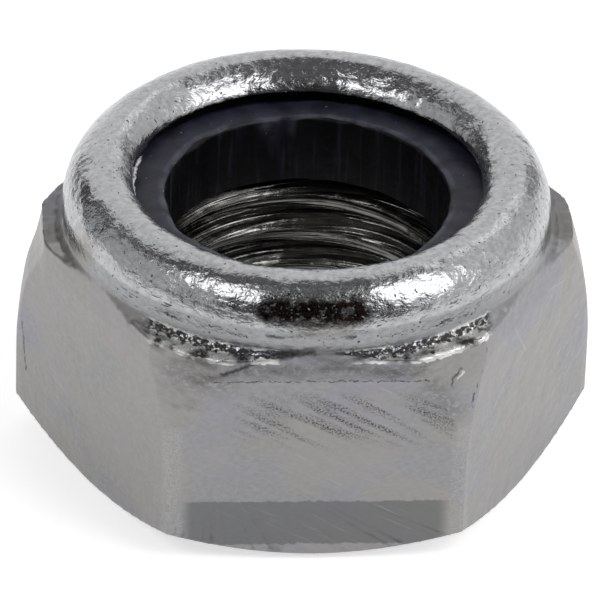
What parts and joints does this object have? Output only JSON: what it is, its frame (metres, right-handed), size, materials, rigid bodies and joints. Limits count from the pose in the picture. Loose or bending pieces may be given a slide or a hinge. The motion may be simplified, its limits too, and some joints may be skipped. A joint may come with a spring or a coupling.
{
  "type": "nylon insert lock nut",
  "caption": "Hexagonal zinc-plated steel lock nut with crowned corners and a rolled collar that traps a dark nylon ring, which grips the bolt's thread.",
  "frame": {"origin": "centre of the bearing face, on the bore's axis", "axes": "+Z along the bore, from the bearing face to the collar; +X through a corner of the hexagon; -Y square to a flat"},
  "size_m": [0.0276, 0.024, 0.0148],
  "materials": {
    "plated_steel": "zinc plated over cold-forged steel, satin on the flats and brighter on the collar",
    "nylon": "dark polyamide, smooth with a dull sheen"
  },
  "bodies": {
    "root": {"nut_body": "plated_steel", "nylon_insert": "nylon"}
  },
  "joints": []
}
